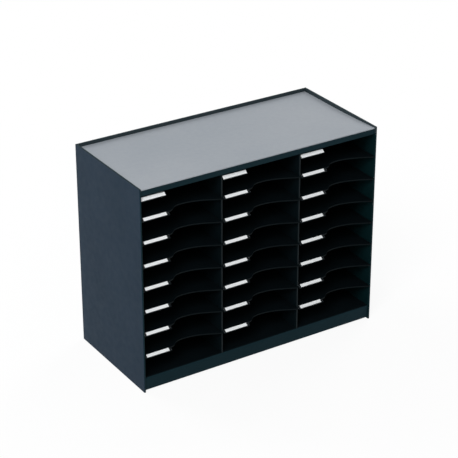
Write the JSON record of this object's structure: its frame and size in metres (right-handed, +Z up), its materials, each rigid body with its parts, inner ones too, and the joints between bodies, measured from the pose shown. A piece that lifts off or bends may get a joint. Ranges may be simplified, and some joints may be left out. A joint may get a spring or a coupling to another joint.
{
  "type": "pigeonhole mail sorter",
  "caption": "Desktop sorter with open pigeonholes in columns; slide-in shelves have a finger bay and a sloping label nose, and a pale panel lies in the rim of the top.",
  "frame": {"origin": "middle of the footprint, on the table under the side panels", "axes": "+X along the width, to the right seen from the front; the open front faces -Y; +Z up"},
  "size_m": [0.674, 0.308, 0.54],
  "materials": {
    "dark_plastic": "satin",
    "pale_plastic": "satin",
    "card": "matte"
  },
  "bodies": {
    "cabinet": {"left_side": "dark_plastic", "right_side": "dark_plastic", "left_divider": "dark_plastic", "right_divider": "dark_plastic", "back_panel": "dark_plastic", "base": "dark_plastic", "top": "dark_plastic", "top_panel": "pale_plastic", "top_label_holder_left": "dark_plastic", "top_label_holder_middle": "dark_plastic", "top_label_holder_right": "dark_plastic"},
    "shelf_left_1": {"shelf_left_1": "dark_plastic"},
    "shelf_left_2": {"shelf_left_2": "dark_plastic"},
    "shelf_left_3": {"shelf_left_3": "dark_plastic"},
    "shelf_left_4": {"shelf_left_4": "dark_plastic"},
    "shelf_left_5": {"shelf_left_5": "dark_plastic"},
    "shelf_left_6": {"shelf_left_6": "dark_plastic"},
    "shelf_left_7": {"shelf_left_7": "dark_plastic"},
    "label_card_left_1": {"label_card_left_1": "card"},
    "label_card_left_2": {"label_card_left_2": "card"},
    "label_card_left_3": {"label_card_left_3": "card"},
    "label_card_left_4": {"label_card_left_4": "card"},
    "label_card_left_5": {"label_card_left_5": "card"},
    "label_card_left_6": {"label_card_left_6": "card"},
    "label_card_left_7": {"label_card_left_7": "card"},
    "label_card_left_8": {"label_card_left_8": "card"},
    "shelf_middle_1": {"shelf_middle_1": "dark_plastic"},
    "shelf_middle_2": {"shelf_middle_2": "dark_plastic"},
    "shelf_middle_3": {"shelf_middle_3": "dark_plastic"},
    "shelf_middle_4": {"shelf_middle_4": "dark_plastic"},
    "shelf_middle_5": {"shelf_middle_5": "dark_plastic"},
    "shelf_middle_6": {"shelf_middle_6": "dark_plastic"},
    "shelf_middle_7": {"shelf_middle_7": "dark_plastic"},
    "label_card_middle_1": {"label_card_middle_1": "card"},
    "label_card_middle_2": {"label_card_middle_2": "card"},
    "label_card_middle_3": {"label_card_middle_3": "card"},
    "label_card_middle_4": {"label_card_middle_4": "card"},
    "label_card_middle_5": {"label_card_middle_5": "card"},
    "label_card_middle_6": {"label_card_middle_6": "card"},
    "label_card_middle_7": {"label_card_middle_7": "card"},
    "label_card_middle_8": {"label_card_middle_8": "card"},
    "shelf_right_1": {"shelf_right_1": "dark_plastic"},
    "shelf_right_2": {"shelf_right_2": "dark_plastic"},
    "shelf_right_3": {"shelf_right_3": "dark_plastic"},
    "shelf_right_4": {"shelf_right_4": "dark_plastic"},
    "shelf_right_5": {"shelf_right_5": "dark_plastic"},
    "shelf_right_6": {"shelf_right_6": "dark_plastic"},
    "shelf_right_7": {"shelf_right_7": "dark_plastic"},
    "label_card_right_1": {"label_card_right_1": "card"},
    "label_card_right_2": {"label_card_right_2": "card"},
    "label_card_right_3": {"label_card_right_3": "card"},
    "label_card_right_4": {"label_card_right_4": "card"},
    "label_card_right_5": {"label_card_right_5": "card"},
    "label_card_right_6": {"label_card_right_6": "card"},
    "label_card_right_7": {"label_card_right_7": "card"},
    "label_card_right_8": {"label_card_right_8": "card"}
  },
  "joints": [
    {"name": "shelf_left_1_slide", "type": "slide", "parent": "cabinet", "child": "shelf_left_1", "axis": [0, -1, 0], "range_m": [0, 0.31]},
    {"name": "shelf_left_2_slide", "type": "slide", "parent": "cabinet", "child": "shelf_left_2", "axis": [0, -1, 0], "range_m": [0, 0.31]},
    {"name": "shelf_left_3_slide", "type": "slide", "parent": "cabinet", "child": "shelf_left_3", "axis": [0, -1, 0], "range_m": [0, 0.31]},
    {"name": "shelf_left_4_slide", "type": "slide", "parent": "cabinet", "child": "shelf_left_4", "axis": [0, -1, 0], "range_m": [0, 0.31]},
    {"name": "shelf_left_5_slide", "type": "slide", "parent": "cabinet", "child": "shelf_left_5", "axis": [0, -1, 0], "range_m": [0, 0.31]},
    {"name": "shelf_left_6_slide", "type": "slide", "parent": "cabinet", "child": "shelf_left_6", "axis": [0, -1, 0], "range_m": [0, 0.31]},
    {"name": "shelf_left_7_slide", "type": "slide", "parent": "cabinet", "child": "shelf_left_7", "axis": [0, -1, 0], "range_m": [0, 0.31]},
    {"name": "label_card_left_1_slide", "type": "slide", "parent": "cabinet", "child": "label_card_left_1", "axis": [1, 0, 0], "range_m": [0, 0.067]},
    {"name": "label_card_left_2_slide", "type": "slide", "parent": "shelf_left_1", "child": "label_card_left_2", "axis": [1, 0, 0], "range_m": [0, 0.07]},
    {"name": "label_card_left_3_slide", "type": "slide", "parent": "shelf_left_2", "child": "label_card_left_3", "axis": [1, 0, 0], "range_m": [0, 0.07]},
    {"name": "label_card_left_4_slide", "type": "slide", "parent": "shelf_left_3", "child": "label_card_left_4", "axis": [1, 0, 0], "range_m": [0, 0.07]},
    {"name": "label_card_left_5_slide", "type": "slide", "parent": "shelf_left_4", "child": "label_card_left_5", "axis": [1, 0, 0], "range_m": [0, 0.07]},
    {"name": "label_card_left_6_slide", "type": "slide", "parent": "shelf_left_5", "child": "label_card_left_6", "axis": [1, 0, 0], "range_m": [0, 0.07]},
    {"name": "label_card_left_7_slide", "type": "slide", "parent": "shelf_left_6", "child": "label_card_left_7", "axis": [1, 0, 0], "range_m": [0, 0.07]},
    {"name": "label_card_left_8_slide", "type": "slide", "parent": "shelf_left_7", "child": "label_card_left_8", "axis": [1, 0, 0], "range_m": [0, 0.07]},
    {"name": "shelf_middle_1_slide", "type": "slide", "parent": "cabinet", "child": "shelf_middle_1", "axis": [0, -1, 0], "range_m": [0, 0.31]},
    {"name": "shelf_middle_2_slide", "type": "slide", "parent": "cabinet", "child": "shelf_middle_2", "axis": [0, -1, 0], "range_m": [0, 0.31]},
    {"name": "shelf_middle_3_slide", "type": "slide", "parent": "cabinet", "child": "shelf_middle_3", "axis": [0, -1, 0], "range_m": [0, 0.31]},
    {"name": "shelf_middle_4_slide", "type": "slide", "parent": "cabinet", "child": "shelf_middle_4", "axis": [0, -1, 0], "range_m": [0, 0.31]},
    {"name": "shelf_middle_5_slide", "type": "slide", "parent": "cabinet", "child": "shelf_middle_5", "axis": [0, -1, 0], "range_m": [0, 0.31]},
    {"name": "shelf_middle_6_slide", "type": "slide", "parent": "cabinet", "child": "shelf_middle_6", "axis": [0, -1, 0], "range_m": [0, 0.31]},
    {"name": "shelf_middle_7_slide", "type": "slide", "parent": "cabinet", "child": "shelf_middle_7", "axis": [0, -1, 0], "range_m": [0, 0.31]},
    {"name": "label_card_middle_1_slide", "type": "slide", "parent": "cabinet", "child": "label_card_middle_1", "axis": [1, 0, 0], "range_m": [0, 0.067]},
    {"name": "label_card_middle_2_slide", "type": "slide", "parent": "shelf_middle_1", "child": "label_card_middle_2", "axis": [1, 0, 0], "range_m": [0, 0.07]},
    {"name": "label_card_middle_3_slide", "type": "slide", "parent": "shelf_middle_2", "child": "label_card_middle_3", "axis": [1, 0, 0], "range_m": [0, 0.07]},
    {"name": "label_card_middle_4_slide", "type": "slide", "parent": "shelf_middle_3", "child": "label_card_middle_4", "axis": [1, 0, 0], "range_m": [0, 0.07]},
    {"name": "label_card_middle_5_slide", "type": "slide", "parent": "shelf_middle_4", "child": "label_card_middle_5", "axis": [1, 0, 0], "range_m": [0, 0.07]},
    {"name": "label_card_middle_6_slide", "type": "slide", "parent": "shelf_middle_5", "child": "label_card_middle_6", "axis": [1, 0, 0], "range_m": [0, 0.07]},
    {"name": "label_card_middle_7_slide", "type": "slide", "parent": "shelf_middle_6", "child": "label_card_middle_7", "axis": [1, 0, 0], "range_m": [0, 0.07]},
    {"name": "label_card_middle_8_slide", "type": "slide", "parent": "shelf_middle_7", "child": "label_card_middle_8", "axis": [1, 0, 0], "range_m": [0, 0.07]},
    {"name": "shelf_right_1_slide", "type": "slide", "parent": "cabinet", "child": "shelf_right_1", "axis": [0, -1, 0], "range_m": [0, 0.31]},
    {"name": "shelf_right_2_slide", "type": "slide", "parent": "cabinet", "child": "shelf_right_2", "axis": [0, -1, 0], "range_m": [0, 0.31]},
    {"name": "shelf_right_3_slide", "type": "slide", "parent": "cabinet", "child": "shelf_right_3", "axis": [0, -1, 0], "range_m": [0, 0.31]},
    {"name": "shelf_right_4_slide", "type": "slide", "parent": "cabinet", "child": "shelf_right_4", "axis": [0, -1, 0], "range_m": [0, 0.31]},
    {"name": "shelf_right_5_slide", "type": "slide", "parent": "cabinet", "child": "shelf_right_5", "axis": [0, -1, 0], "range_m": [0, 0.31]},
    {"name": "shelf_right_6_slide", "type": "slide", "parent": "cabinet", "child": "shelf_right_6", "axis": [0, -1, 0], "range_m": [0, 0.31]},
    {"name": "shelf_right_7_slide", "type": "slide", "parent": "cabinet", "child": "shelf_right_7", "axis": [0, -1, 0], "range_m": [0, 0.31]},
    {"name": "label_card_right_1_slide", "type": "slide", "parent": "cabinet", "child": "label_card_right_1", "axis": [1, 0, 0], "range_m": [0, 0.067]},
    {"name": "label_card_right_2_slide", "type": "slide", "parent": "shelf_right_1", "child": "label_card_right_2", "axis": [1, 0, 0], "range_m": [0, 0.07]},
    {"name": "label_card_right_3_slide", "type": "slide", "parent": "shelf_right_2", "child": "label_card_right_3", "axis": [1, 0, 0], "range_m": [0, 0.07]},
    {"name": "label_card_right_4_slide", "type": "slide", "parent": "shelf_right_3", "child": "label_card_right_4", "axis": [1, 0, 0], "range_m": [0, 0.07]},
    {"name": "label_card_right_5_slide", "type": "slide", "parent": "shelf_right_4", "child": "label_card_right_5", "axis": [1, 0, 0], "range_m": [0, 0.07]},
    {"name": "label_card_right_6_slide", "type": "slide", "parent": "shelf_right_5", "child": "label_card_right_6", "axis": [1, 0, 0], "range_m": [0, 0.07]},
    {"name": "label_card_right_7_slide", "type": "slide", "parent": "shelf_right_6", "child": "label_card_right_7", "axis": [1, 0, 0], "range_m": [0, 0.07]},
    {"name": "label_card_right_8_slide", "type": "slide", "parent": "shelf_right_7", "child": "label_card_right_8", "axis": [1, 0, 0], "range_m": [0, 0.07]}
  ]
}
